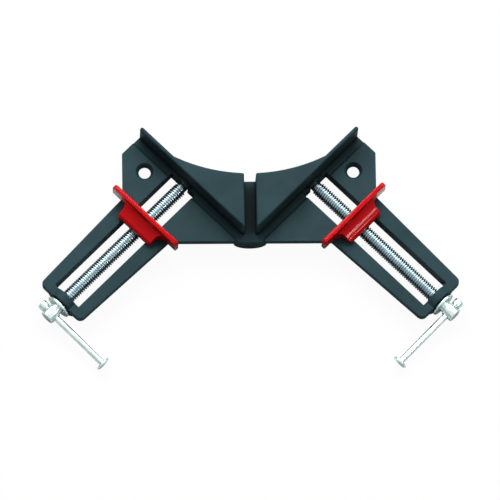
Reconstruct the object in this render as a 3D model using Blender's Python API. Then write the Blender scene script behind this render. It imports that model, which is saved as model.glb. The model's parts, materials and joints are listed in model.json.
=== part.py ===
# Corner clamp: one casting holds two parts square to each other, and a screw on each arm
# drives a jaw that presses its part against a fence.
# Units are metres, +Z is up. X runs across the clamp and Y runs away from its nose.
# The origin is the middle of the foot pad under the nose, on the bench.
# Along an arm, u runs out from the fence face and v runs along the fence from the corner,
# where the two fence faces would meet.

import math

import bmesh
import bpy
from mathutils import Matrix, Vector

mm = 0.001

# Gaps, and how far joined shapes reach into each other and cutters run past a face
part_gap = 0.3 * mm
seam_step = 0.15 * mm
join_depth = 0.9 * mm
cut_past = 1.0 * mm

# Casting, heights above the bench
plate_top = 13.0 * mm
plate_thickness = 3.7 * mm
groove_depth = 1.2 * mm
fence_top = 27.3 * mm
rail_bottom = 3.2 * mm
edge_round = 0.6 * mm
fence_round = 0.9 * mm

# Most that a fence's end rounding takes of its wall, and its top rounding of the end one
end_round_share = 0.48
top_round_share = 0.85

# Casting, plan
corner_setback = 16.0 * mm
south_edge = -0.4 * mm
shoulder_x = 45.6 * mm
end_edge_u = 13.5 * mm
waist_low_y = 25.7 * mm
fence_length = 86.9 * mm
fence_wall = 2.3 * mm
fence_end_round = 1.1 * mm
fence_tip_y = 4.6 * mm
groove_width = 4.8 * mm
nose_mouth_x = 8.0 * mm
channel_floor = 6.4 * mm
channel_top = 6.6 * mm
hollow_floor_y = 35.5 * mm
hollow_end_v = 62.2 * mm
hollow_corner = 1.8 * mm
hollow_corner_round = 1.1 * mm
arm_length = 100.2 * mm
arm_end_width = 31.5 * mm
arm_corner = 3.4 * mm

# Slot and the rails beside it
slot_width = 18.35 * mm
slot_inner = 1.9 * mm
end_wall = 5.4 * mm
rail_thickness = 3.5 * mm

# Keel under the nose
keel_radius = 9.3 * mm
keel_bottom = 0.5 * mm
keel_length = 35.1 * mm
foot_width = 12.0 * mm
foot_length = 24.0 * mm
foot_corner = 2.5 * mm

# Screw-down holes and the ring feet under them
hole_u = 12.2 * mm
hole_v = 70.4 * mm
hole_dia = 6.8 * mm
countersink_dia = 10.2 * mm
countersink_depth = 2.3 * mm
ring_foot_outer = 10.0 * mm
ring_foot_inner = 7.0 * mm

# Core taken out under the block behind each fence
core_roof = 3.5 * mm
core_wall = 3.0 * mm
core_near_x = 10.5 * mm
core_far_x = 26.0 * mm

# Lead screw
screw_v = 50.2 * mm
screw_z = 8.1 * mm
thread_dia = 7.94 * mm
tip_dia = 6.0 * mm
clip_groove_dia = 4.8 * mm
neck_dia = 6.9 * mm
neck_length = 4.6 * mm
head_dia = 8.4 * mm
head_length = 6.5 * mm
screw_chamfer = 0.5 * mm
tip_land = 1.0 * mm

# Bosses on the screw axis
end_boss_radius = 8.0 * mm
end_setback = 0.5 * mm
end_foot_half = 4.0 * mm
tip_boss_radius = 6.3 * mm
tip_wall = 4.5 * mm
clip_pocket_radius = 5.6 * mm
clip_pocket_length = 2.8 * mm
boss_back = 6.8 * mm

# Retaining clip and thrust washer
clip_thickness = 0.7 * mm
clip_radius = 4.9 * mm
clip_mouth_deg = 80.0
clip_mouth_at_deg = -90.0
washer_dia = 14.8 * mm
washer_thickness = 1.2 * mm
washer_ease = 0.2 * mm
washer_play = 0.8 * mm

# Sliding T-bar in the head
bar_dia = 3.6 * mm
bar_hole_dia = 4.2 * mm
bar_reach = 41.0 * mm
bar_disc_dia = 8.4 * mm
bar_disc_thickness = 1.2 * mm
bar_button_dia = 5.6 * mm
bar_button_length = 3.6 * mm
bar_crown = 0.7 * mm
bar_ease = 0.3 * mm
bar_tilt_deg = 5.0

# Jaw
left_jaw_rest_u = 31.0 * mm
right_jaw_rest_u = 30.1 * mm
jaw_width = 49.2 * mm
jaw_plate = 2.8 * mm
jaw_top = 23.0 * mm
jaw_corner = 2.2 * mm
jaw_ease = 0.4 * mm
jaw_foot_length = 11.1 * mm
jaw_foot_width = 24.4 * mm
jaw_foot_height = 2.6 * mm
jaw_foot_corner = 1.2 * mm
jaw_web_width = 35.0 * mm
jaw_flank_run = 4.2 * mm
jaw_heel_step = 1.3 * mm
jaw_web_drop = 0.8 * mm
tongue_front = 2.2 * mm
tongue_length = 6.2 * mm
tongue_bottom = 2.6 * mm

# Facets
fine_steps = 40
arc_steps = 14
round_steps = 3
end_steps = 4

SIDES = {"left": -1, "right": 1}

groove_floor = plate_top - groove_depth
plate_bottom = plate_top - plate_thickness
slot_outer = arm_length - end_wall
end_face = arm_length - end_setback
fence_end_corner = min(fence_end_round, end_round_share * fence_wall)
fence_top_round = min(fence_round, top_round_share * fence_end_corner)
diagonal = math.sqrt(0.5)


def remove_scene_objects():
    for item in list(bpy.data.objects):
        bpy.data.objects.remove(item)


def plan(side, u, v):
    """World x and y of a point given along one arm."""
    return side * (u + v) * diagonal, (v - u) * diagonal - corner_setback


def from_corner(side, x, y):
    """World x and y of a point measured from the corner of the two fence faces."""
    return side * x, y - corner_setback


def arc(centre, radius, start_deg, end_deg, steps=arc_steps):
    points = []
    for i in range(steps + 1):
        angle = math.radians(start_deg + (end_deg - start_deg) * i / steps)
        points.append((centre[0] + radius * math.cos(angle), centre[1] + radius * math.sin(angle)))
    return points


def circle(centre, radius, steps=fine_steps):
    return arc(centre, radius, 0.0, 360.0, steps)[:-1]


def area(outline):
    total = 0.0
    for (ax, ay), (bx, by) in zip(outline, outline[1:] + outline[:1]):
        total += ax * by - bx * ay
    return total / 2


def anticlockwise(outline):
    return list(outline) if area(outline) > 0 else list(reversed(outline))


def inset(outline, distance):
    """The outline moved inwards by a distance, with mitred corners."""
    moved = []
    count = len(outline)
    for i in range(count):
        here = Vector(outline[i])
        before = (here - Vector(outline[i - 1])).normalized()
        after = (Vector(outline[(i + 1) % count]) - here).normalized()
        normal_a = Vector((-before.y, before.x))
        normal_b = Vector((-after.y, after.x))
        middle = normal_a + normal_b
        moved.append(tuple(here + middle * (2 * distance / middle.length_squared)))
    return moved


def rounded_corner(before, corner, after, radius, steps=6):
    """Points of the arc that rounds one corner of an outline."""
    here = Vector(corner)
    to_before = (Vector(before) - here).normalized()
    to_after = (Vector(after) - here).normalized()
    half = to_before.angle(to_after) / 2
    centre = here + (to_before + to_after).normalized() * (radius / math.sin(half))
    first = here + to_before * (radius / math.tan(half)) - centre
    last = here + to_after * (radius / math.tan(half)) - centre
    turn = first.angle_signed(last)
    points = []
    for i in range(steps + 1):
        spoke = first.copy()
        spoke.rotate(Matrix.Rotation(-turn * i / steps, 2))
        points.append(tuple(centre + spoke))
    return points


def object_from_rings(name, rings):
    """A closed solid skinned over rings of points, with a flat face on each end."""
    shape = bmesh.new()
    loops = [[shape.verts.new(point) for point in ring] for ring in rings]
    count = len(rings[0])
    for low, high in zip(loops, loops[1:]):
        for i in range(count):
            j = (i + 1) % count
            shape.faces.new((low[i], low[j], high[j], high[i]))
    shape.faces.new(list(reversed(loops[0])))
    shape.faces.new(loops[-1])
    bmesh.ops.recalc_face_normals(shape, faces=shape.faces)
    mesh = bpy.data.meshes.new(name)
    shape.to_mesh(mesh)
    shape.free()
    item = bpy.data.objects.new(name, mesh)
    bpy.context.collection.objects.link(item)
    return item


def prism(name, outline, low, high, top_round=0.0):
    """An upright prism; its top edge can be rounded."""
    outline = anticlockwise(outline)
    rings = [[(x, y, low) for x, y in outline]]
    if top_round == 0.0:
        rings.append([(x, y, high) for x, y in outline])
    else:
        for i in range(round_steps + 1):
            angle = math.pi / 2 * i / round_steps
            level = high - top_round * (1 - math.sin(angle))
            edge = inset(outline, top_round * (1 - math.cos(angle)))
            rings.append([(x, y, level) for x, y in edge])
    return object_from_rings(name, rings)


def along_arm(name, side, section, u_start, u_end):
    """A prism along an arm; its section is given as v and z."""
    rings = []
    for u in (u_start, u_end):
        rings.append([(*plan(side, u, v), z) for v, z in section])
    return object_from_rings(name, rings)


def arm_box(name, side, u_range, v_range, z_range):
    corners = [(u, v) for u, v in ((0, 0), (1, 0), (1, 1), (0, 1))]
    outline = [plan(side, u_range[i], v_range[j]) for i, j in corners]
    return prism(name, outline, *z_range)


def turned(name, profile, steps=fine_steps):
    """A solid turned about its local x axis from a list of x and radius."""
    rings = []
    for x, radius in profile:
        rings.append([(x, y, z) for y, z in circle((0.0, 0.0), radius, steps)])
    return object_from_rings(name, rings)


def apply_boolean(body, tool, operation):
    """Joins, cuts or intersects and then removes the tool."""
    modifier = body.modifiers.new(operation.lower(), "BOOLEAN")
    modifier.operation = operation
    modifier.solver = "EXACT"
    modifier.object = tool
    graph = bpy.context.evaluated_depsgraph_get()
    mesh = bpy.data.meshes.new_from_object(body.evaluated_get(graph))
    body.modifiers.clear()
    body.data = mesh
    bpy.data.objects.remove(tool)


def join(body, tool):
    apply_boolean(body, tool, "UNION")


def cut(body, tool):
    apply_boolean(body, tool, "DIFFERENCE")


def finish(item, name, material, sharp_deg=32.0):
    """Names the mesh, gives it its material and shades its rounds smooth."""
    item.name = name
    item.data.name = name
    item.data.materials.clear()
    item.data.materials.append(material)
    item.data.shade_smooth()
    item.data.set_sharp_from_angle(angle=math.radians(sharp_deg))
    return item


def make_material(name, colour, roughness, metallic):
    material = bpy.data.materials.new(name)
    material.use_nodes = True
    shader = material.node_tree.nodes["Principled BSDF"]
    shader.inputs["Base Color"].default_value = (*colour, 1.0)
    shader.inputs["Roughness"].default_value = roughness
    shader.inputs["Metallic"].default_value = metallic
    return material


# Casting outlines, measured from the corner of the fences

def hollow_end(wall):
    """Where the hollow behind the fences runs into the back of a fence wall."""
    return (hollow_end_v - wall) * diagonal, (hollow_end_v + wall) * diagonal


def hollow_points(side, wall, floor_y, x_to, steps=24):
    """Arc of the hollow, from the back of a wall to an x near the middle."""
    end_x, end_y = hollow_end(wall)
    depth = end_y - floor_y
    radius = (end_x ** 2 + depth ** 2) / (2 * depth)
    points = []
    for i in range(steps + 1):
        x = end_x + (x_to - end_x) * i / steps
        points.append(from_corner(side, x, floor_y + radius - math.sqrt(radius ** 2 - x ** 2)))
    return points


def deck_outline(side):
    """The raised deck of one arm, from the groove at the fence foot to the end wall."""
    nose = from_corner(side, nose_mouth_x, south_edge)
    nose_back = from_corner(side, nose_mouth_x, nose_mouth_x - groove_width / diagonal)
    shoulder = from_corner(side, shoulder_x, south_edge)
    low_end = plan(side, arm_length, screw_v - arm_end_width / 2)
    high_end = plan(side, arm_length, screw_v + arm_end_width / 2)
    waist_x = (end_edge_u + fence_length) * diagonal
    waist_low = from_corner(side, waist_x, waist_low_y)
    waist_high = plan(side, end_edge_u, fence_length)
    outline = [nose, shoulder]
    outline += rounded_corner(shoulder, low_end, high_end, arm_corner)
    outline += rounded_corner(low_end, high_end, waist_low, arm_corner)
    outline += [waist_low, waist_high, plan(side, groove_width, fence_length), nose_back]
    return outline


def floor_outline():
    """The lower floor: grooves, channel and what lies under the two blocks."""
    end_v = fence_length - seam_step
    under_deck = groove_width + 2 * fence_round
    wall = fence_wall - seam_step
    nose_x = nose_mouth_x + join_depth
    nose_y = nose_x - under_deck / diagonal
    hollow = hollow_points(1, wall, hollow_floor_y - seam_step, 0.0)
    end_front = plan(1, under_deck, end_v)
    end_back = plan(1, -wall, end_v)
    right = [from_corner(1, nose_x, south_edge), from_corner(1, nose_x, nose_y), end_front]
    right += rounded_corner(end_front, end_back, hollow[0], fence_end_corner, end_steps)
    right += hollow
    left = [(-x, y) for x, y in reversed(right[:-1])]
    return right + left


def fence_outline(side, channel_width):
    """A fence wall with the block behind it, down to the blunt tip at the nose."""
    wall_x = channel_width / 2
    tip = from_corner(side, wall_x, fence_tip_y)
    face = from_corner(side, fence_tip_y, fence_tip_y)
    arc_points = hollow_points(side, fence_wall, hollow_floor_y, wall_x)
    end_front = plan(side, 0.0, fence_length)
    end_back = plan(side, -fence_wall, fence_length)
    outline = [tip, face]
    outline += rounded_corner(face, end_front, end_back, fence_end_corner, end_steps)
    outline += rounded_corner(end_front, end_back, arc_points[0], fence_end_corner, end_steps)
    corner = arc_points[-1]
    below = (corner[0], corner[1] - hollow_corner)
    outline += arc_points[:-1]
    outline += rounded_corner(arc_points[-2], corner, below, hollow_corner_round)
    return outline


def fence_block(side):
    """Fence and block: the channel wall leans out and the top edge is rounded."""
    def channel_at(level):
        share = (level - groove_floor) / (fence_top - groove_floor)
        return channel_floor + (channel_top - channel_floor) * share

    rings = []
    low = anticlockwise(fence_outline(side, channel_at(plate_bottom)))
    rings.append([(x, y, plate_bottom) for x, y in low])
    for i in range(round_steps + 1):
        angle = math.pi / 2 * i / round_steps
        level = fence_top - fence_top_round * (1 - math.sin(angle))
        outline = anticlockwise(fence_outline(side, channel_at(level)))
        edge = inset(outline, fence_top_round * (1 - math.cos(angle)))
        rings.append([(x, y, level) for x, y in edge])
    return object_from_rings("fence block", rings)


def core_outline(side):
    """The core under one block, a wall's thickness inside the fence and the hollow."""
    inner = core_wall / diagonal
    outline = [from_corner(side, core_near_x, core_near_x + inner)]
    back = hollow_points(side, fence_wall, hollow_floor_y, core_near_x)
    back = [(x, y - core_wall) for x, y in back if abs(x) < core_far_x]
    outline.append((back[0][0], abs(back[0][0]) + inner - corner_setback))
    return outline + back


def arch_section(radius, low):
    """A section open below: a half round over the screw axis on straight legs."""
    top = arc((screw_v, screw_z), radius, 0.0, 180.0, 2 * arc_steps)
    return [(screw_v - radius, low), (screw_v + radius, low)] + top


def end_section():
    """End wall section: round boss over the screw, and a belly down to its foot."""
    top_level = plate_top - edge_round
    side_level = plate_bottom + seam_step
    half_width = arm_end_width / 2 - arm_corner
    rise = math.asin((top_level - screw_z) / end_boss_radius)
    crown = arc((screw_v, screw_z), end_boss_radius, math.degrees(rise), 180 - math.degrees(rise), 20)
    belly = []
    for i in range(2 * arc_steps + 1):
        offset = -half_width + half_width * i / arc_steps
        reach = max(0.0, abs(offset) - end_foot_half) / (half_width - end_foot_half)
        belly.append((screw_v + offset, side_level * (1 - math.cos(math.pi * reach)) / 2))
    return belly + [(screw_v + half_width, top_level)] + crown + [(screw_v - half_width, top_level)]


def keel_section():
    """Half-round section of the keel as x and z, its crown inside the floor."""
    centre_z = keel_bottom + keel_radius
    drop = math.degrees(math.asin((centre_z - plate_bottom - join_depth) / keel_radius))
    return arc((0.0, centre_z), keel_radius, -180 + drop, -drop, 24)


def add_keel(body):
    rings = []
    for y in (south_edge, keel_length - seam_step):
        rings.append([(x, y - corner_setback, z) for x, z in keel_section()])
    join(body, object_from_rings("keel", rings))
    half_w, half_l = foot_width / 2, foot_length / 2
    corners = [(-half_w, -half_l), (half_w, -half_l), (half_w, half_l), (-half_w, half_l)]
    outline = []
    for i in range(4):
        outline += rounded_corner(corners[i - 1], corners[i], corners[(i + 1) % 4], foot_corner)
    join(body, prism("keel foot", outline, 0.0, keel_bottom + keel_radius / 2))


def add_arm(body, side):
    """Deck, rails, end boss, tip boss and ring foot of one arm."""
    join(body, prism("deck", deck_outline(side), plate_bottom, plate_top, edge_round))
    rail_v = (screw_v - slot_width / 2 - rail_thickness, screw_v + slot_width / 2 + rail_thickness)
    rail_u = (-fence_wall + seam_step, arm_length - end_wall / 2)
    rail_z = (rail_bottom, plate_bottom + join_depth)
    join(body, arm_box("rails", side, rail_u, rail_v, rail_z))
    join(body, along_arm("end wall", side, end_section(), slot_outer - join_depth, end_face))
    tip = arch_section(tip_boss_radius, rail_bottom - seam_step)
    join(body, along_arm("tip boss", side, tip, -boss_back, slot_inner + join_depth))
    centre = plan(side, hole_u, hole_v)
    foot = prism("ring foot", circle(centre, ring_foot_outer), 0.0, plate_bottom + join_depth)
    cut(foot, prism("foot hole", circle(centre, ring_foot_inner), -cut_past, plate_bottom))
    join(body, foot)


def countersunk_hole(centre):
    """Cutter for a screw hole and its countersink, run past both faces of the plate."""
    hole_radius = hole_dia / 2
    slope = (countersink_dia / 2 - hole_radius) / countersink_depth
    profile = [(plate_bottom - cut_past, hole_radius), (plate_top - countersink_depth, hole_radius)]
    profile.append((plate_top + cut_past, hole_radius + slope * (countersink_depth + cut_past)))
    rings = []
    for level, radius in profile:
        rings.append([(x, y, level) for x, y in circle(centre, radius)])
    return object_from_rings("countersunk hole", rings)


def cut_arm(body, side):
    """Slot, bearing for the tip, clip pocket, end bore, screw-down hole and core."""
    half_slot = slot_width / 2
    through = (-cut_past, fence_top + cut_past)
    slot_v = (screw_v - half_slot, screw_v + half_slot)
    cut(body, arm_box("slot", side, (slot_inner, slot_outer), slot_v, through))
    saddle = arch_section(tip_dia / 2 + part_gap, -cut_past)
    pocket_front = slot_inner - tip_wall
    saddle_u = (pocket_front - cut_past, slot_inner + cut_past)
    cut(body, along_arm("tip saddle", side, saddle, *saddle_u))
    pocket = arch_section(clip_pocket_radius, -2 * cut_past)
    pocket_back = pocket_front - clip_pocket_length
    cut(body, along_arm("clip pocket", side, pocket, pocket_back, pocket_front))
    bore = circle((screw_v, screw_z), thread_dia / 2 + part_gap)
    end_bore_u = (slot_outer - cut_past, arm_length + cut_past)
    cut(body, along_arm("end bore", side, bore, *end_bore_u))
    cut(body, countersunk_hole(plan(side, hole_u, hole_v)))
    cut(body, prism("core", core_outline(side), -cut_past, fence_top - core_roof))


def make_casting(material):
    body = prism("floor", floor_outline(), plate_bottom, groove_floor)
    for side in SIDES.values():
        join(body, fence_block(side))
    add_keel(body)
    for side in SIDES.values():
        add_arm(body, side)
    for side in SIDES.values():
        cut_arm(body, side)
    return finish(body, "clamp_body", material)


def place(item, side, u, z, turn_deg=0.0, tilt_deg=0.0):
    """Puts a piece on the screw axis of an arm, with its local x pointing out along it."""
    x, y = plan(side, u, screw_v)
    out = -45.0 if side > 0 else -135.0
    item.location = (x, y, z)
    item.rotation_euler = (0.0, math.radians(tilt_deg), math.radians(out + turn_deg))


def jaw_plan_half():
    """Plan of the web behind the jaw plate, one half: x out along the arm and y across."""
    half_web = jaw_web_width / 2
    half_foot = jaw_foot_width / 2
    sweep = []
    for i in range(arc_steps + 1):
        angle = math.pi / 2 * i / arc_steps
        x = jaw_plate + jaw_flank_run * (1 - math.cos(angle))
        sweep.append((x, half_web - (half_web - half_foot) * math.sin(angle)))
    heel = (jaw_foot_length, half_foot)
    corner = rounded_corner(sweep[-1], heel, (jaw_foot_length, 0.0), jaw_foot_corner)
    return [(jaw_plate / 2, half_web)] + sweep + corner


def jaw_profile():
    """Side view of the web: foot, heel and the hollow slope up to the top of the plate."""
    base = plate_top + part_gap
    heel_z = base + jaw_foot_height
    slope_foot = (jaw_foot_length - jaw_heel_step, heel_z + jaw_heel_step)
    crest = (jaw_plate - jaw_ease, jaw_top - jaw_web_drop)
    profile = [(jaw_plate / 2, base), (jaw_foot_length, base), (jaw_foot_length, heel_z)]
    for i in range(arc_steps + 1):
        angle = math.pi / 2 * i / arc_steps
        x = slope_foot[0] + (crest[0] - slope_foot[0]) * math.sin(angle)
        z = crest[1] + (slope_foot[1] - crest[1]) * math.cos(angle)
        line_share = i / arc_steps
        line_x = slope_foot[0] + (crest[0] - slope_foot[0]) * line_share
        line_z = slope_foot[1] + (crest[1] - slope_foot[1]) * line_share
        profile.append(((x + line_x * 2) / 3, (z + line_z * 2) / 3))
    profile.append((jaw_plate / 2, jaw_top - jaw_web_drop))
    return profile


def make_jaw(name, side, material):
    base = plate_top + part_gap
    half = jaw_width / 2
    corners = [(-half, base), (half, base), (half, jaw_top), (-half, jaw_top)]
    outline = [corners[0], corners[1]]
    outline += rounded_corner(corners[1], corners[2], corners[3], jaw_corner)
    outline += rounded_corner(corners[2], corners[3], corners[0], jaw_corner)
    stations = ((0.0, jaw_ease), (jaw_ease, 0.0), (jaw_plate - jaw_ease, 0.0), (jaw_plate, jaw_ease))
    rings = []
    for x, depth in stations:
        rings.append([(x, y, z) for y, z in inset(outline, depth)])
    jaw = object_from_rings("jaw plate", rings)

    half_plan = jaw_plan_half()
    whole_plan = half_plan + [(x, -y) for x, y in reversed(half_plan)]
    web = prism("jaw web plan", whole_plan, base - cut_past, jaw_top + cut_past)
    profile = jaw_profile()
    side_rings = []
    for y in (-half, half):
        side_rings.append([(x, y, z) for x, z in profile])
    apply_boolean(web, object_from_rings("jaw web side", side_rings), "INTERSECT")
    join(jaw, web)

    half_tongue = slot_width / 2 - part_gap
    tongue_outline = [
        (tongue_front, -half_tongue),
        (tongue_front + tongue_length, -half_tongue),
        (tongue_front + tongue_length, half_tongue),
        (tongue_front, half_tongue),
    ]
    join(jaw, prism("jaw tongue", tongue_outline, tongue_bottom, base + jaw_foot_height / 2))

    bore_radius = thread_dia / 2 + part_gap
    bore = turned("jaw bore", [(-cut_past, bore_radius), (jaw_foot_length + cut_past, bore_radius)])
    bore.location = (0.0, 0.0, screw_z)
    cut(jaw, bore)
    finish(jaw, name, material)
    place(jaw, side, left_jaw_rest_u if side < 0 else right_jaw_rest_u, 0.0)
    return jaw


def bar_station():
    """Distance along the arm at which the T-bar crosses the screw head."""
    return end_face + neck_length + screw_chamfer + bar_hole_dia / 2


def make_screw(name, side, material):
    tip_radius = tip_dia / 2
    thread_radius = thread_dia / 2
    head_radius = head_dia / 2
    clip_face = slot_inner - tip_wall
    groove_back = clip_face - clip_thickness - 2 * part_gap
    tip_end = groove_back - tip_land
    thread_start = slot_inner + part_gap
    neck_start = end_face
    head_start = neck_start + neck_length
    head_end = head_start + head_length
    profile = [
        (tip_end, tip_radius - screw_chamfer),
        (tip_end + screw_chamfer, tip_radius),
        (groove_back, tip_radius),
        (groove_back, clip_groove_dia / 2),
        (clip_face, clip_groove_dia / 2),
        (clip_face, tip_radius),
        (thread_start, tip_radius),
        (thread_start + screw_chamfer, thread_radius),
        (neck_start, thread_radius),
        (neck_start, neck_dia / 2),
        (head_start, neck_dia / 2),
        (head_start, head_radius),
        (head_end - screw_chamfer, head_radius),
        (head_end, head_radius - screw_chamfer),
    ]
    screw = turned(name, profile)
    hole_radius = bar_hole_dia / 2
    hole = turned("bar hole", [(-head_dia, hole_radius), (head_dia, hole_radius)], 28)
    hole.location = (bar_station(), 0.0, 0.0)
    across = -90.0 if side > 0 else 90.0
    hole.rotation_euler = (0.0, math.radians(bar_tilt_deg), math.radians(across))
    cut(screw, hole)
    finish(screw, name, material)
    place(screw, side, 0.0, screw_z)
    return screw


def make_bar(name, side, material):
    """T-bar: a button at the near end, a thin upset disc at the far end."""
    radius = bar_dia / 2
    button_radius = bar_button_dia / 2
    disc_radius = bar_disc_dia / 2
    shoulder = -(head_dia / 2 + part_gap)
    near_end = shoulder - bar_button_length
    disc_start = bar_reach - bar_disc_thickness
    profile = []
    for x, y in arc((near_end + bar_crown, 0.0), bar_crown, 180.0, 90.0, round_steps):
        profile.append((x, y + button_radius - bar_crown))
    profile += [
        (shoulder - bar_ease, button_radius),
        (shoulder, button_radius - bar_ease),
        (shoulder, radius),
        (disc_start - bar_ease, radius),
        (disc_start, radius + bar_ease),
        (disc_start, disc_radius - bar_ease),
        (disc_start + bar_ease, disc_radius),
        (bar_reach - bar_ease, disc_radius),
        (bar_reach, disc_radius - bar_ease),
    ]
    bar = finish(turned(name, profile, 28), name, material)
    across = -90.0 if side > 0 else 90.0
    place(bar, side, bar_station(), screw_z, across, bar_tilt_deg)
    return bar


def make_washer(name, side, material):
    outer = washer_dia / 2
    inner = neck_dia / 2 + part_gap
    rim = outer - washer_ease
    start = end_face + part_gap + washer_play
    end = start + washer_thickness
    profile = [(start, rim), (start + washer_ease, outer), (end - washer_ease, outer), (end, rim)]
    washer = turned(name, profile)
    hole = turned("washer hole", [(start - cut_past, inner), (end + cut_past, inner)])
    cut(washer, hole)
    finish(washer, name, material)
    place(washer, side, 0.0, screw_z)
    return washer


def make_clip(name, side, material):
    """Open retaining clip in the groove of the screw tip, its mouth facing down."""
    half_mouth = clip_mouth_deg / 2
    inner = clip_groove_dia / 2 + part_gap
    first = clip_mouth_at_deg + half_mouth
    last = clip_mouth_at_deg - half_mouth + 360.0
    outline = arc((0.0, 0.0), clip_radius, first, last, fine_steps)
    outline += arc((0.0, 0.0), inner, last, first, fine_steps)
    front = slot_inner - tip_wall - part_gap
    rings = []
    for x in (front - clip_thickness, front):
        rings.append([(x, y, z) for y, z in outline])
    clip = finish(object_from_rings(name, rings), name, material)
    place(clip, side, 0.0, screw_z)
    return clip


def main():
    remove_scene_objects()
    casting_paint = make_material("charcoal_painted_alloy", (0.035, 0.055, 0.062), 0.45, 0.0)
    jaw_enamel = make_material("red_enamelled_alloy", (0.62, 0.01, 0.02), 0.25, 0.0)
    zinc = make_material("zinc_plated_steel", (0.78, 0.82, 0.81), 0.25, 1.0)
    make_casting(casting_paint)
    for word, side in SIDES.items():
        make_jaw(f"{word}_jaw", side, jaw_enamel)
        make_screw(f"{word}_lead_screw", side, zinc)
        make_washer(f"{word}_thrust_washer", side, zinc)
        make_clip(f"{word}_retaining_clip", side, zinc)
        make_bar(f"{word}_t_bar", side, zinc)


main()
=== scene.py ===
import json
import math

import bmesh
import bpy
from mathutils import Matrix, Vector


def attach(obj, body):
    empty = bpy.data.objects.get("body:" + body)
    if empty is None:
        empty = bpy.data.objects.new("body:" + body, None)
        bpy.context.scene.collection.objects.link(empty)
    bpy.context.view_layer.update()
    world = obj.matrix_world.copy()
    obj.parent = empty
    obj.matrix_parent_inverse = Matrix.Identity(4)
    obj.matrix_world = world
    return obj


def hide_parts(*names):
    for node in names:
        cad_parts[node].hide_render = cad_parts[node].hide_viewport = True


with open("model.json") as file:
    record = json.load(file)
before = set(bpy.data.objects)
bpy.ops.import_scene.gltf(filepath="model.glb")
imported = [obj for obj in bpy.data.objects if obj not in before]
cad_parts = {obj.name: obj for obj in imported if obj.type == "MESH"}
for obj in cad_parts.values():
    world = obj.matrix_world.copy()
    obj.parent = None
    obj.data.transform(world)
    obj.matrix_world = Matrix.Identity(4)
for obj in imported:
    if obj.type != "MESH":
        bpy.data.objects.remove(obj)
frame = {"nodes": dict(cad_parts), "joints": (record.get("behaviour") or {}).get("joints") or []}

# A corner clamp with a painted cast body, enamelled jaws, and zinc plated screws and T-bars.
# Sizes in the dictionaries are millimetres unless a name says otherwise.

mm = 0.001
white = (1.0, 1.0, 1.0, 1.0)
sides = ("left", "right")
nodes = frame["nodes"]
joints = {joint["name"]: joint for joint in frame["joints"]}
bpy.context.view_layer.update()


# Helpers

def linearColour(hexText):
    channels = []
    for start in (0, 2, 4):
        value = int(hexText[start:start + 2], 16) / 255
        channels.append(value / 12.92 if value <= 0.04045 else ((value + 0.055) / 1.055) ** 2.4)
    return (*channels, 1.0)


def addNode(tree, kind, settings, links=None):
    # a setting goes to the socket of that name or number, or else to the property of that name
    node = tree.nodes.new(kind)
    for key, value in settings.items():
        if not isinstance(key, int) and key not in node.inputs:
            setattr(node, key, value)
    for key, value in settings.items():
        if isinstance(key, int) or key in node.inputs:
            node.inputs[key].default_value = value
    for key, source in (links or {}).items():
        tree.links.new(source, node.inputs[key])
    return node


def newMaterial(name):
    material = bpy.data.materials.new(name)
    material.use_nodes = True
    material.node_tree.nodes.clear()
    return material, material.node_tree


def patternScale(sizeMm):
    # a noise of scale 1 changes about once a metre
    return 1 / (sizeMm * mm)


def dress(piece, material):
    piece.data.materials.clear()
    piece.data.materials.append(material)


# Surface patterns that more than one material uses. A noise centres on 0.5: low and high are the
# stretch of it that a pattern spreads over its whole range, and detail is how fine it breaks up.
patterns = {
    "wear": {"low": 0.38, "high": 0.66, "detail": 4.0},
    "mottle": {"low": 0.35, "high": 0.65, "detail": 3.0},
    "uneven": {"low": 0.3, "high": 0.7, "detail": 5.0},
    "edgeSamples": 6, "cornerSamples": 8,
}


def spreadNoise(tree, coords, kind, sizeMm, toMin=0.0, toMax=1.0):
    form = patterns[kind]
    noise = addNode(tree, "ShaderNodeTexNoise",
                    {"Scale": patternScale(sizeMm), "Detail": form["detail"]}, {"Vector": coords})
    return addNode(tree, "ShaderNodeMapRange",
                   {"From Min": form["low"], "From Max": form["high"],
                    "To Min": toMin, "To Max": toMax},
                   {"Value": noise.outputs["Fac"]}).outputs["Result"]


def roundedNormal(tree, edgeMm):
    # turns across a small round on every edge, as on a real casting
    return addNode(tree, "ShaderNodeBevel",
                   {"samples": patterns["edgeSamples"], "Radius": edgeMm * mm}).outputs["Normal"]


def edgeMask(tree, edgeNormal, coords, breakMm, start, full):
    # 1 on edges and 0 on flats, broken up by a noise so that the wear isn't a drawn line
    flat = addNode(tree, "ShaderNodeNewGeometry", {}).outputs["Normal"]
    same = addNode(tree, "ShaderNodeVectorMath", {"operation": "DOT_PRODUCT"}, {0: edgeNormal, 1: flat})
    edge = addNode(tree, "ShaderNodeMapRange", {"From Min": start, "From Max": full},
                   {"Value": same.outputs["Value"]})
    return addNode(tree, "ShaderNodeMath", {"operation": "MULTIPLY"},
                   {0: edge.outputs["Result"],
                    1: spreadNoise(tree, coords, "wear", breakMm)}).outputs["Value"]


def mottledColour(tree, coords, sizeMm, darkHex, lightHex):
    return addNode(tree, "ShaderNodeMix",
                   {"data_type": "RGBA", 6: linearColour(darkHex), 7: linearColour(lightHex)},
                   {0: spreadNoise(tree, coords, "mottle", sizeMm)}).outputs[2]


def shadeOpenShare(tree, reachMm, shut, clear):
    # 0 deep in a groove or corner and 1 out in the open, from the piece's own walls alone; it places
    # painted shade
    cover = addNode(tree, "ShaderNodeAmbientOcclusion",
                    {"samples": patterns["cornerSamples"], "only_local": True,
                     "Distance": reachMm * mm})
    return addNode(tree, "ShaderNodeMapRange", {"From Min": shut, "From Max": clear},
                   {"Value": cover.outputs["AO"]}).outputs["Result"]


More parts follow.
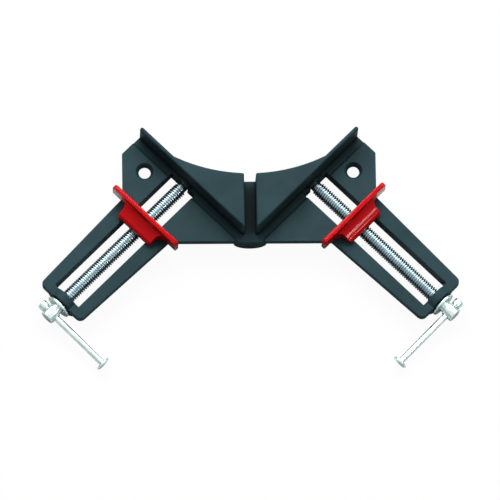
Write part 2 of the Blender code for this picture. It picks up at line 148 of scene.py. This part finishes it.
def layOver(tree, under, hexText, mask, share):
    # a second colour over the first, wherever the mask is up, at no more than the share
    part = addNode(tree, "ShaderNodeMath", {"operation": "MULTIPLY", 1: share}, {0: mask})
    return addNode(tree, "ShaderNodeMix", {"data_type": "RGBA", 7: linearColour(hexText)},
                   {0: part.outputs["Value"], 6: under}).outputs[2]


def fineBump(tree, coords, sizeMm, detail, strength, heightMm, normal=None):
    grain = addNode(tree, "ShaderNodeTexNoise",
                    {"Scale": patternScale(sizeMm), "Detail": detail}, {"Vector": coords})
    links = {"Height": grain.outputs["Fac"]}
    if normal:
        links["Normal"] = normal
    return addNode(tree, "ShaderNodeBump",
                   {"Strength": strength, "Distance": heightMm * mm}, links).outputs["Normal"]


# Satin paint on a die casting: baked stoving paint in a slate blue-green. Grooves and inner
# corners are painted almost black, as painted shade where the piece's own walls close them in.
# The grain of the casting shows through as a fine even pebble.
castingPaint = {
    # the near-black recess colour and the reaches below are painted shade in grooves and inner corners
    "darkHex": "283f44", "lightHex": "2f484e", "wornHex": "54686e", "paintedShadeHex": "060f13",
    "shadeReachMm": 9.0, "shadeShut": 0.30, "shadeClear": 0.86,
    "creaseShadeReachMm": 1.8, "creaseShadeShut": 0.35, "creaseShadeClear": 0.80,
    "mottleMm": 22.0, "ior": 1.5, "specular": 0.07,
    "roughLow": 0.42, "roughHigh": 0.56, "roughMm": 9.0,
    "pebbleMm": 0.9,         # real pebble is about 0.3 mm, drawn coarser so that it shows
    "pebbleDetail": 2.0, "pebbleStrength": 0.10, "pebbleHeight": 0.05,
    "edgeMm": 0.5, "wearMm": 2.5, "wornShare": 0.35,
    "edgeStart": 0.97, "edgeFull": 0.80,     # cosine of the turn where wear starts and is full
}


def satinPaintedDieCasting():
    look = castingPaint
    material, tree = newMaterial("satinPaintedDieCasting")
    coords = addNode(tree, "ShaderNodeTexCoord", {}).outputs["Object"]
    edgeNormal = roundedNormal(tree, look["edgeMm"])
    worn = edgeMask(tree, edgeNormal, coords, look["wearMm"], look["edgeStart"], look["edgeFull"])
    paint = mottledColour(tree, coords, look["mottleMm"], look["darkHex"], look["lightHex"])
    # painted shade: grooves, creases and inner corners go towards the near-black colour
    recessUnshaded = shadeOpenShare(tree, look["shadeReachMm"], look["shadeShut"], look["shadeClear"])
    smooth = shadeOpenShare(tree, look["creaseShadeReachMm"], look["creaseShadeShut"], look["creaseShadeClear"])
    unshadedShare = addNode(tree, "ShaderNodeMath", {"operation": "MULTIPLY"}, {0: recessUnshaded, 1: smooth})
    shaded = addNode(tree, "ShaderNodeMix", {"data_type": "RGBA", 6: linearColour(look["paintedShadeHex"])},
                     {0: unshadedShare.outputs["Value"], 7: paint})
    colour = layOver(tree, shaded.outputs[2], look["wornHex"], worn, look["wornShare"])
    rough = spreadNoise(tree, coords, "uneven", look["roughMm"], look["roughLow"], look["roughHigh"])
    bump = fineBump(tree, coords, look["pebbleMm"], look["pebbleDetail"], look["pebbleStrength"],
                    look["pebbleHeight"], edgeNormal)
    shader = addNode(tree, "ShaderNodeBsdfPrincipled",
                     {"IOR": look["ior"], "Specular IOR Level": look["specular"]},
                     {"Base Color": colour, "Roughness": rough, "Normal": bump})
    addNode(tree, "ShaderNodeOutputMaterial", {}, {"Surface": shader.outputs["BSDF"]})
    return material


# Glossy enamel on a die casting: sprayed and stoved, so it has an orange-peel skin under a
# hard shine, and it pulls a little thin and pale over the edges.
jawEnamel = {
    "darkHex": "c60008", "lightHex": "d2000b", "thinHex": "ea1034",
    "mottleMm": 14.0, "ior": 1.5, "specular": 0.02,
    "roughLow": 0.24, "roughHigh": 0.34, "roughMm": 6.0,
    "coat": 1.0, "coatIor": 1.2, "coatRoughness": 0.08,
    "peelMm": 1.6,           # real orange peel is about 1 mm from bump to bump, drawn a little coarser
    "peelDetail": 1.0, "peelStrength": 0.02, "peelHeight": 0.06,
    "edgeMm": 0.7, "thinMm": 3.0, "thinShare": 0.6,
    "edgeStart": 0.98, "edgeFull": 0.80,     # cosine of the turn where enamel thins and is thinnest
}


def glossyEnamelledDieCasting():
    look = jawEnamel
    material, tree = newMaterial("glossyEnamelledDieCasting")
    coords = addNode(tree, "ShaderNodeTexCoord", {}).outputs["Object"]
    edgeNormal = roundedNormal(tree, look["edgeMm"])
    thin = edgeMask(tree, edgeNormal, coords, look["thinMm"], look["edgeStart"], look["edgeFull"])
    enamel = mottledColour(tree, coords, look["mottleMm"], look["darkHex"], look["lightHex"])
    colour = layOver(tree, enamel, look["thinHex"], thin, look["thinShare"])
    rough = spreadNoise(tree, coords, "uneven", look["roughMm"], look["roughLow"], look["roughHigh"])
    bump = fineBump(tree, coords, look["peelMm"], look["peelDetail"], look["peelStrength"],
                    look["peelHeight"])
    shader = addNode(tree, "ShaderNodeBsdfPrincipled",
                     {"IOR": look["ior"], "Specular IOR Level": look["specular"],
                      "Coat Weight": look["coat"], "Coat IOR": look["coatIor"],
                      "Coat Roughness": look["coatRoughness"]},
                     {"Base Color": colour, "Roughness": rough, "Normal": bump, "Coat Normal": bump})
    addNode(tree, "ShaderNodeOutputMaterial", {}, {"Surface": shader.outputs["BSDF"]})
    return material


# Bright zinc plating: thin and clear with a cold green-white cast. What lies under it shows
# through: rings from the lathe, long lines from drawing the rod, or a rolled thread.
# The rolled thread is the dullest and bluest, and the roots of its thread are darkened as painted
# shade. Real lathe and drawing lines are about 0.05 mm apart, and are drawn coarser so that they show.
zincFinishes = {
    "turned": {"darkHex": "d0e6e3", "lightHex": "eafbf8", "lineMm": 0.35, "across": (1.0, 0.02, 0.02),
               "strength": 0.06, "rootShadeShare": 0.0},
    "drawn": {"darkHex": "d0e6e3", "lightHex": "eafbf8", "lineMm": 0.30, "across": (0.02, 1.0, 1.0),
              "strength": 0.06, "rootShadeShare": 0.0},
    # the rolled finish gets painted shade in the roots of its thread
    "rolled": {"darkHex": "aec4cb", "lightHex": "c4d7dd", "lineMm": 0.60, "across": (1.0, 1.0, 1.0),
               "strength": 0.02, "rootShadeShare": 0.45},
}
zincPlate = {
    "mottleMm": 5.0, "roughLow": 0.20, "roughHigh": 0.34, "roughMm": 2.0,
    "lineDetail": 2.0, "lineHeight": 0.02,
    "rootShadeHex": "2a363b", "rootShadeFrom": 3.60, "rootShadeTo": 3.15,     # radius where the painted root shade starts and is darkest
    "neckFrom": 100.6, "neckFull": 101.2,     # along the screw, where thread gives way to neck
}


def brightNeckAndHead(tree, coords, threadColour):
    # the thread alone is rolled; the screw's neck and head are turned bright
    look, turned = zincPlate, zincFinishes["turned"]
    bright = mottledColour(tree, coords, look["mottleMm"], turned["darkHex"], turned["lightHex"])
    along = addNode(tree, "ShaderNodeSeparateXYZ", {}, {"Vector": coords}).outputs["X"]
    share = addNode(tree, "ShaderNodeMapRange",
                    {"From Min": look["neckFrom"] * mm, "From Max": look["neckFull"] * mm},
                    {"Value": along})
    return addNode(tree, "ShaderNodeMix", {"data_type": "RGBA"},
                   {0: share.outputs["Result"], 6: threadColour, 7: bright}).outputs[2]


def paintedRootShade(tree, coords, plating, share):
    # painted shade: darker towards the roots of the thread, by radius; the piece's own x axis is the
    # screw's
    across = addNode(tree, "ShaderNodeVectorMath", {"operation": "MULTIPLY", 1: (0.0, 1.0, 1.0)},
                     {0: coords})
    radius = addNode(tree, "ShaderNodeVectorMath", {"operation": "LENGTH"},
                     {0: across.outputs["Vector"]})
    depth = addNode(tree, "ShaderNodeMapRange",
                    {"From Min": zincPlate["rootShadeFrom"] * mm, "From Max": zincPlate["rootShadeTo"] * mm,
                     "To Min": 0.0, "To Max": share}, {"Value": radius.outputs["Value"]})
    return addNode(tree, "ShaderNodeMix", {"data_type": "RGBA", 7: linearColour(zincPlate["rootShadeHex"])},
                   {0: depth.outputs["Result"], 6: plating}).outputs[2]


def brightZincPlatedSteel(process):
    look, lines = zincPlate, zincFinishes[process]
    material, tree = newMaterial(process + "ZincPlatedSteel")
    coords = addNode(tree, "ShaderNodeTexCoord", {}).outputs["Object"]
    colour = mottledColour(tree, coords, look["mottleMm"], lines["darkHex"], lines["lightHex"])
    # painted shade in the roots of the rolled thread
    if lines["rootShadeShare"]:
        colour = brightNeckAndHead(tree, coords, colour)
        colour = paintedRootShade(tree, coords, colour, lines["rootShadeShare"])
    rough = spreadNoise(tree, coords, "uneven", look["roughMm"], look["roughLow"], look["roughHigh"])
    stretched = addNode(tree, "ShaderNodeMapping", {"Scale": lines["across"]}, {"Vector": coords})
    bump = fineBump(tree, stretched.outputs["Vector"], lines["lineMm"], look["lineDetail"],
                    lines["strength"], look["lineHeight"])
    shader = addNode(tree, "ShaderNodeBsdfPrincipled", {"Metallic": 1.0},
                     {"Base Color": colour, "Roughness": rough, "Normal": bump})
    addNode(tree, "ShaderNodeOutputMaterial", {}, {"Surface": shader.outputs["BSDF"]})
    return material


materials = {"paint": satinPaintedDieCasting(), "enamel": glossyEnamelledDieCasting()}
for process in zincFinishes:
    materials[process] = brightZincPlatedSteel(process)
print("materials made")


# Castings and clips from the frame, shaded smooth over their rounds

# sharpDeg: a jaw's edges are one narrow 45 degree face each, which is shaded as a round
smoothing = {"weld": 0.001, "sharpDeg": {"rounds": 34.0, "jaws": 52.0}}


def smoothingGroup(sharpDeg):
    group = bpy.data.node_groups.new("smoothRounds", "GeometryNodeTree")
    group.interface.new_socket("Geometry", in_out="INPUT", socket_type="NodeSocketGeometry")
    group.interface.new_socket("Geometry", in_out="OUTPUT", socket_type="NodeSocketGeometry")
    start = addNode(group, "NodeGroupInput", {})
    welded = addNode(group, "GeometryNodeMergeByDistance", {"Distance": smoothing["weld"] * mm},
                     {"Geometry": start.outputs[0]})
    smooth = addNode(group, "GeometryNodeSetShadeSmooth", {"domain": "FACE", 2: True},
                     {0: welded.outputs[0]})
    angle = addNode(group, "GeometryNodeInputMeshEdgeAngle", {})
    sharp = addNode(group, "FunctionNodeCompare",
                    {"operation": "GREATER_THAN", 1: math.radians(sharpDeg)},
                    {0: angle.outputs["Unsigned Angle"]})
    edged = addNode(group, "GeometryNodeSetShadeSmooth", {"domain": "EDGE", 2: False},
                    {0: smooth.outputs[0], 1: sharp.outputs[0]})
    addNode(group, "NodeGroupOutput", {}, {0: edged.outputs[0]})
    return group


smoothingGroups = {kind: smoothingGroup(angle) for kind, angle in smoothing["sharpDeg"].items()}


def keepCadNode(name, material, kind="rounds"):
    piece = nodes[name]
    facetNormals = piece.data.attributes.get("custom_normal")
    if facetNormals:
        piece.data.attributes.remove(facetNormals)
    piece.modifiers.new("smoothRounds", "NODES").node_group = smoothingGroups[kind]
    flatFaces = piece.modifiers.new("flatFaces", "WEIGHTED_NORMAL")
    flatFaces.keep_sharp = True
    dress(piece, material)


keepCadNode("clamp_body", materials["paint"])
for side in sides:
    keepCadNode(side + "_jaw", materials["enamel"], "jaws")
    keepCadNode(side + "_retaining_clip", materials["turned"])
print("castings and clips dressed")


# Turned pieces, each made along its own x axis

def vertRound(shape, x, radius, angle):
    return shape.verts.new((x * mm, radius * math.cos(angle) * mm, radius * math.sin(angle) * mm))


def ringOfVerts(shape, x, radius, steps):
    return [vertRound(shape, x, radius, 2 * math.pi * k / steps) for k in range(steps)]


def skinRings(shape, rings):
    for low, high in zip(rings, rings[1:]):
        for k in range(len(low)):
            after = (k + 1) % len(low)
            shape.faces.new((low[k], low[after], high[after], high[k]))


def turnedShape(profile, steps, capStart=True, capEnd=True):
    shape = bmesh.new()
    rings = [ringOfVerts(shape, x, radius, steps) for x, radius in profile]
    skinRings(shape, rings)
    if capStart:
        shape.faces.new(list(reversed(rings[0])))
    if capEnd:
        shape.faces.new(rings[-1])
    return shape, rings


def pieceFromShape(name, shape, matrix, sharpDeg):
    bmesh.ops.recalc_face_normals(shape, faces=shape.faces)
    mesh = bpy.data.meshes.new(name)
    shape.to_mesh(mesh)
    shape.free()
    mesh.shade_smooth()
    mesh.set_sharp_from_angle(angle=math.radians(sharpDeg))
    piece = bpy.data.objects.new(name, mesh)
    bpy.context.scene.collection.objects.link(piece)
    piece.matrix_world = matrix
    return piece


def roundOver(x, radius, roundX, roundRadius, steps=4):
    # quarter round from the end face at x to the side at radius; roundX is signed
    points = []
    for i in range(steps + 1):
        angle = math.pi / 2 * i / steps
        points.append((x + roundX * (1 - math.cos(angle)),
                       radius - roundRadius * (1 - math.sin(angle))))
    return points


def axisMatrix(origin, direction):
    xAxis = Vector(direction).normalized()
    zAxis = (Vector((0, 0, 1)) - xAxis * xAxis.z).normalized()
    yAxis = zAxis.cross(xAxis)
    matrix = Matrix((xAxis, yAxis, zAxis)).transposed().to_4x4()
    matrix.translation = origin
    return matrix


def screwAxis(side):
    joint = joints[side + "_screw_turn"]
    return Vector(joint["pos_m"]), Vector(joint["axis"]).normalized()


def reachAlong(name, origin, direction):
    # lowest and highest place of a node along an axis
    distances = [(vert.co - origin).dot(direction) / mm for vert in nodes[name].data.vertices]
    return min(distances), max(distances)


# Lead screw: rolled 5/16 inch thread, plain tip with a clip groove, and a cross-drilled head
leadScrew = {
    "steps": 48, "pitch": 25.4 / 18,     # 18 threads to the inch
    "threadRadius": 3.96, "rootRadius": 3.08,
    "rootFlat": 0.20, "crestFlat": 0.16,     # shares of one pitch
    "leadTurns": 0.6,        # over which the thread rises from the root at each end
    "threadStart": 2.9, "threadEnd": 99.7, "sharpDeg": 32.0,
    "tipRadius": 3.0, "tipRound": 0.5, "clipFace": -2.6, "clipGroove": 1.3, "clipGrooveRadius": 2.4,
    "tipTaperStart": 0.4, "tipTaperEnd": 0.2,     # both before the thread's start
    "neckRadius": 3.45, "neckRiseStart": 0.1, "neckRiseEnd": 0.3,     # both after the thread's end
    "headStart": 104.3, "headRadius": 4.2, "headBackRound": 0.3, "headRound": 0.5,
    "headSharpDeg": 30.0,
    "neckOnHead": 0.6,       # length of neck that is made with the head
    "barHoleRadius": 2.1, "holeFacets": 36, "seamWeld": 0.002, "flatWithin": 0.001,
}


def threadGrid(shape, turns):
    # rows of points that run along the helix; a row's place in one pitch sets its radius
    form, steps = leadScrew, leadScrew["steps"]
    flank = (1 - form["rootFlat"] - form["crestFlat"]) / 2
    rowShares = (0.0, form["rootFlat"], form["rootFlat"] + flank, 1 - flank)
    rows = []
    for row, share in enumerate(rowShares):
        points = []
        count = turns * steps + (steps if row == 0 else 0)
        for i in range(count + 1):
            turn = i / steps
            rise = min(1.0, turn / form["leadTurns"], max(0.0, turns - turn) / form["leadTurns"])
            radius = form["rootRadius"]
            if row >= 2:     # the crest's two rows
                radius += (form["threadRadius"] - form["rootRadius"]) * rise
            x = form["threadStart"] + (turn + share) * form["pitch"]
            points.append(vertRound(shape, x, radius, 2 * math.pi * turn))
        rows.append(points)
    rows.append(rows[0][steps:])
    for low, high in zip(rows, rows[1:]):
        for i in range(turns * steps):
            shape.faces.new((low[i], low[i + 1], high[i + 1], high[i]))
    return rows


def joinThreadEnds(shape, rows, startRing, endRing, turns):
    # closes the skin between each end of the helix and the plain ring beside it
    steps = leadScrew["steps"]
    first = rows[0]
    for k in range(steps - 1):
        shape.faces.new((startRing[k], startRing[k + 1], first[k + 1], first[k]))
    lead = [row[0] for row in rows[1:4]]
    shape.faces.new([startRing[-1], startRing[0], first[0], *lead, first[steps], first[steps - 1]])
    offset = turns * steps
    last = [row[offset] for row in rows[1:4]]
    shape.faces.new([first[offset], first[offset + 1], endRing[1], endRing[0], first[offset + steps],
                     *reversed(last)])
    for k in range(1, steps):
        after = (k + 1) % steps
        shape.faces.new((first[offset + k], first[offset + k + 1], endRing[after], endRing[k]))


def threadedRod(tipEnd):
    form, steps = leadScrew, leadScrew["steps"]
    turns = int((form["threadEnd"] - form["threadStart"]) / form["pitch"]) - 1
    threadTop = form["threadStart"] + (turns + 1) * form["pitch"]
    grooveBack = form["clipFace"] - form["clipGroove"]
    tip = roundOver(tipEnd, form["tipRadius"], form["tipRound"], form["tipRound"])
    tip += [(grooveBack, form["tipRadius"]), (grooveBack, form["clipGrooveRadius"])]
    tip += [(form["clipFace"], form["clipGrooveRadius"]), (form["clipFace"], form["tipRadius"])]
    tip += [(form["threadStart"] - form["tipTaperStart"], form["tipRadius"])]
    tip += [(form["threadStart"] - form["tipTaperEnd"], form["rootRadius"])]
    shape, tipRings = turnedShape(tip, steps, capEnd=False)
    rows = threadGrid(shape, turns)
    neck = [(threadTop + form["neckRiseStart"], form["rootRadius"])]
    neck += [(threadTop + form["neckRiseEnd"], form["neckRadius"])]
    neck += [(form["headStart"] - form["neckOnHead"], form["neckRadius"])]
    neckRings = [ringOfVerts(shape, x, radius, steps) for x, radius in neck]
    skinRings(shape, neckRings)
    joinThreadEnds(shape, rows, tipRings[-1], neckRings[0], turns)
    return shape


def crossDrilledHead(headEnd, station, holeTurn):
    # the head and its neck, drilled for the bar; its first ring meets the rod's last one
    form = leadScrew
    seam = form["headStart"] - form["neckOnHead"]
    back, front = form["headBackRound"], form["headRound"]
    profile = [(seam, form["neckRadius"]), (form["headStart"], form["neckRadius"])]
    profile += roundOver(form["headStart"], form["headRadius"], back, back)
    profile += reversed(roundOver(headEnd, form["headRadius"], -front, front))
    blank = turnedShape(profile, form["steps"])[0]
    head = pieceFromShape("headBlank", blank, Matrix.Identity(4), form["headSharpDeg"])
    reach = form["headRadius"] * 2
    drill = turnedShape([(-reach, form["barHoleRadius"]), (reach, form["barHoleRadius"])],
                        form["holeFacets"])[0]
    cutter = pieceFromShape("barDrill", drill, Matrix.Translation((station * mm, 0, 0)) @ holeTurn,
                            form["headSharpDeg"])
    drilling = head.modifiers.new("drill", "BOOLEAN")
    drilling.operation = "DIFFERENCE"
    drilling.solver = "EXACT"
    drilling.object = cutter
    evaluated = head.evaluated_get(bpy.context.evaluated_depsgraph_get())
    drilled = bpy.data.meshes.new_from_object(evaluated)
    bpy.data.objects.remove(head)
    bpy.data.objects.remove(cutter)
    shape = bmesh.new()
    shape.from_mesh(drilled)
    cap = []
    for face in shape.faces:
        if all(abs(vert.co.x - seam * mm) < form["flatWithin"] * mm for vert in face.verts):
            cap.append(face)
    bmesh.ops.delete(shape, geom=cap, context="FACES_ONLY")
    return shape


def makeLeadScrew(side):
    # gives back how far along the screw its bar passes through
    origin, axis = screwAxis(side)
    place = axisMatrix(origin, axis)
    barPlace = axisMatrix(origin, joints[side + "_bar_slide"]["axis"])
    tipEnd, headEnd = reachAlong(side + "_lead_screw", origin, axis)
    station = sum(reachAlong(side + "_t_bar", origin, axis)) / 2
    holeTurn = (place.inverted().to_3x3() @ barPlace.to_3x3()).to_4x4()
    rod = threadedRod(tipEnd)
    head = crossDrilledHead(headEnd, station, holeTurn)
    headMesh = bpy.data.meshes.new("drilledHead")
    head.to_mesh(headMesh)
    head.free()
    rod.from_mesh(headMesh)
    bpy.data.meshes.remove(headMesh)
    bmesh.ops.remove_doubles(rod, verts=rod.verts, dist=leadScrew["seamWeld"] * mm)
    piece = pieceFromShape(side + "_threaded_screw", rod, place, leadScrew["sharpDeg"])
    dress(piece, materials["rolled"])
    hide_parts(side + "_lead_screw")
    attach(piece, side + "_spindle")
    return station


# Thrust washer: a turned ring with a small round on each rim
thrustWasher = {
    "steps": 64, "outerRadius": 7.4, "innerRadius": 3.75, "rimRound": 0.3, "sharpDeg": 30.0,
}


def makeThrustWasher(side):
    form, rim = thrustWasher, thrustWasher["rimRound"]
    origin, axis = screwAxis(side)
    low, high = reachAlong(side + "_thrust_washer", origin, axis)
    profile = [(low, form["innerRadius"])]
    profile += roundOver(low, form["outerRadius"], rim, rim)
    profile += reversed(roundOver(high, form["outerRadius"], -rim, rim))
    profile += [(high, form["innerRadius"])]
    shape, rings = turnedShape(profile, form["steps"], capStart=False, capEnd=False)
    skinRings(shape, [rings[-1], rings[0]])
    piece = pieceFromShape(side + "_washer", shape, axisMatrix(origin, axis), form["sharpDeg"])
    dress(piece, materials["turned"])
    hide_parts(side + "_thrust_washer")
    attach(piece, side + "_spindle")


# T-bar: drawn rod, a crowned button on one end and a thin upset disc on the other
tBar = {
    "steps": 48, "radius": 1.8, "sharpDeg": 34.0,
    "buttonRadius": 2.8, "buttonLength": 3.6, "buttonCrown": 0.9, "crownSteps": 6, "buttonEdge": 0.3,
    "discRadius": 4.2, "discThickness": 1.2, "discRound": 0.45, "discFillet": 0.5, "filletSteps": 4,
}


def makeTBar(side, station):
    form = tBar
    origin, axis = screwAxis(side)
    middle = origin + axis * (station * mm)
    outward = -Vector(joints[side + "_bar_slide"]["axis"]).normalized()
    buttonEnd, discEnd = reachAlong(side + "_t_bar", middle, outward)
    shoulder = buttonEnd + form["buttonLength"]
    discStart = discEnd - form["discThickness"]
    crown, edge, fillet = form["buttonCrown"], form["buttonEdge"], form["discFillet"]
    profile = roundOver(buttonEnd, form["buttonRadius"], crown, crown, form["crownSteps"])
    profile += [(shoulder - edge, form["buttonRadius"]), (shoulder, form["buttonRadius"] - edge)]
    profile += [(shoulder, form["radius"])]
    for i in range(form["filletSteps"] + 1):
        angle = math.pi / 2 * i / form["filletSteps"]
        profile.append((discStart - fillet * (1 - math.sin(angle)),
                        form["radius"] + fillet * (1 - math.cos(angle))))
    discRound = form["discRound"]
    profile += roundOver(discStart, form["discRadius"], discRound, discRound)
    profile += reversed(roundOver(discEnd, form["discRadius"], -discRound, discRound))
    shape = turnedShape(profile, form["steps"])[0]
    piece = pieceFromShape(side + "_sliding_bar", shape, axisMatrix(middle, outward), form["sharpDeg"])
    dress(piece, materials["drawn"])
    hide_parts(side + "_t_bar")
    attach(piece, side + "_handle")


for side in sides:
    barStation = makeLeadScrew(side)
    makeThrustWasher(side)
    makeTBar(side, barStation)
    print(side, "screw, washer and bar made")


# Studio: white floor that keeps a faint shadow, a sky that is white overhead and dim round the
# horizon, and two softboxes behind the clamp, so that its upright front faces stay dark. A small
# third box on the right draws the light line along the right jaw's heel.

studio = {
    "floorSize": 6000.0, "floorDrop": 0.05, "floorGlow": 0.95,
    "floorHex": "6c6e6e", "mirrorFloorHex": "e6e8e8",     # as it lights the clamp, as gloss shows it
    "skyLow": 0.15, "skyHigh": 0.85,     # shares of the way up between which the sky brightens
    "fillDim": 0.01, "fillBright": 0.20,     # the sky as it lights the clamp
    "mirrorDim": 0.38, "mirrorBright": 1.0,     # the sky as gloss shows it
    "boxDistance": 1100.0,
    # degrees round from +Y towards +X, degrees up, size and watts
    "boxes": {"left": (-28.0, 48.0, 800.0, 8.7), "right": (26.0, 48.0, 800.0, 8.0),
              "heel": (115.5, 44.0, 110.0, 0.90)},
}


def makeFloor():
    half = studio["floorSize"] / 2 * mm
    corners = [(-half, -half, 0), (half, -half, 0), (half, half, 0), (-half, half, 0)]
    mesh = bpy.data.meshes.new("studioFloor")
    mesh.from_pydata(corners, [], [(0, 1, 2, 3)])
    floor = bpy.data.objects.new("studioFloor", mesh)
    floor.location.z = -studio["floorDrop"] * mm
    bpy.context.scene.collection.objects.link(floor)
    material, tree = newMaterial("whiteStudioFloor")
    path = addNode(tree, "ShaderNodeLightPath", {})
    bounced = addNode(tree, "ShaderNodeMix",
                      {"data_type": "RGBA", 6: linearColour(studio["floorHex"]),
                       7: linearColour(studio["mirrorFloorHex"])}, {0: path.outputs["Is Glossy Ray"]})
    shade = addNode(tree, "ShaderNodeMix", {"data_type": "RGBA", 7: white},
                    {0: path.outputs["Is Camera Ray"], 6: bounced.outputs[2]})
    paper = addNode(tree, "ShaderNodeBsdfDiffuse", {}, {"Color": shade.outputs[2]})
    glow = addNode(tree, "ShaderNodeEmission", {"Strength": 1.0})
    share = addNode(tree, "ShaderNodeMath", {"operation": "MULTIPLY", 1: studio["floorGlow"]},
                    {0: path.outputs["Is Camera Ray"]})
    both = addNode(tree, "ShaderNodeMixShader", {},
                   {0: share.outputs["Value"], 1: paper.outputs["BSDF"], 2: glow.outputs["Emission"]})
    # clear from below, so that a view from there shows the clamp's underside
    under = addNode(tree, "ShaderNodeNewGeometry", {}).outputs["Backfacing"]
    clear = addNode(tree, "ShaderNodeBsdfTransparent", {})
    oneWay = addNode(tree, "ShaderNodeMixShader", {},
                     {0: under, 1: both.outputs["Shader"], 2: clear.outputs["BSDF"]})
    addNode(tree, "ShaderNodeOutputMaterial", {}, {"Surface": oneWay.outputs["Shader"]})
    mesh.materials.append(material)


def makeSky():
    world = bpy.data.worlds.new("whiteStudio")
    world.use_nodes = True
    tree = world.node_tree
    tree.nodes.clear()
    path = addNode(tree, "ShaderNodeLightPath", {})
    direction = addNode(tree, "ShaderNodeTexCoord", {}).outputs["Generated"]
    upward = addNode(tree, "ShaderNodeSeparateXYZ", {}, {"Vector": direction}).outputs["Z"]
    levels = []
    for dim, bright in (("fillDim", "fillBright"), ("mirrorDim", "mirrorBright")):
        levels.append(addNode(tree, "ShaderNodeMapRange",
                              {"interpolation_type": "SMOOTHSTEP",
                               "From Min": studio["skyLow"], "From Max": studio["skyHigh"],
                               "To Min": studio[dim], "To Max": studio[bright]},
                              {"Value": upward}).outputs["Result"])
    mirrored = addNode(tree, "ShaderNodeMath", {"operation": "MAXIMUM"},
                       {0: path.outputs["Is Glossy Ray"], 1: path.outputs["Is Transmission Ray"]})
    lit = addNode(tree, "ShaderNodeMix", {"data_type": "FLOAT"},
                  {0: mirrored.outputs["Value"], 2: levels[0], 3: levels[1]})
    strength = addNode(tree, "ShaderNodeMix", {"data_type": "FLOAT", 3: 1.0},
                       {0: path.outputs["Is Camera Ray"], 2: lit.outputs[0]})
    sky = addNode(tree, "ShaderNodeBackground", {"Color": white}, {"Strength": strength.outputs[0]})
    addNode(tree, "ShaderNodeOutputWorld", {}, {"Surface": sky.outputs["Background"]})
    bpy.context.scene.world = world


def makeSoftbox(name):
    turnDeg, riseDeg, size, watts = studio["boxes"][name]
    turn, rise = math.radians(turnDeg), math.radians(riseDeg)
    light = bpy.data.lights.new(name + "Softbox", "AREA")
    light.shape = "SQUARE"
    light.size = size * mm
    light.energy = watts
    lamp = bpy.data.objects.new(name + "Softbox", light)
    outward = Vector((math.sin(turn), math.cos(turn), 0)) * math.cos(rise)
    outward.z = math.sin(rise)
    lamp.location = outward * studio["boxDistance"] * mm
    lamp.rotation_euler = (-lamp.location).to_track_quat("-Z", "Y").to_euler()
    bpy.context.scene.collection.objects.link(lamp)


makeFloor()
makeSky()
for name in studio["boxes"]:
    makeSoftbox(name)
print("studio made")


# Camera: a very long lens high over the nose, a little to the left, as fitted to the outline
photoView = {
    "elevationDeg": 71.97, "leftwardDeg": 1.86, "rollDeg": 0.30, "distance": 4975.0,
    "aim": (-0.08, -20.16, 9.70), "pixelsPerMm": 1.7916, "framePixels": 500, "sensor": 36.0,
    "clipEnd": 20000.0,
}


def makeCamera():
    view = photoView
    rise, leftward = math.radians(view["elevationDeg"]), math.radians(view["leftwardDeg"])
    ahead = math.cos(leftward)
    back = Vector((-math.sin(leftward), -ahead * math.cos(rise), ahead * math.sin(rise)))
    across = (Vector((1, 0, 0)) - back * back.x).normalized()
    level = Matrix((across, back.cross(across), back)).transposed()
    turned = (level @ Matrix.Rotation(-math.radians(view["rollDeg"]), 3, "Z")).to_4x4()
    data = bpy.data.cameras.new("photoCamera")
    data.sensor_width = view["sensor"]
    data.lens = view["sensor"] * view["distance"] * view["pixelsPerMm"] / view["framePixels"]
    data.clip_end = view["clipEnd"] * mm
    camera = bpy.data.objects.new("photoCamera", data)
    place = (Vector(view["aim"]) + back * view["distance"]) * mm
    camera.matrix_world = Matrix.Translation(place) @ turned
    bpy.context.scene.collection.objects.link(camera)
    bpy.context.scene.camera = camera


makeCamera()
bpy.context.scene.view_settings.view_transform = "Standard"
print("camera made")
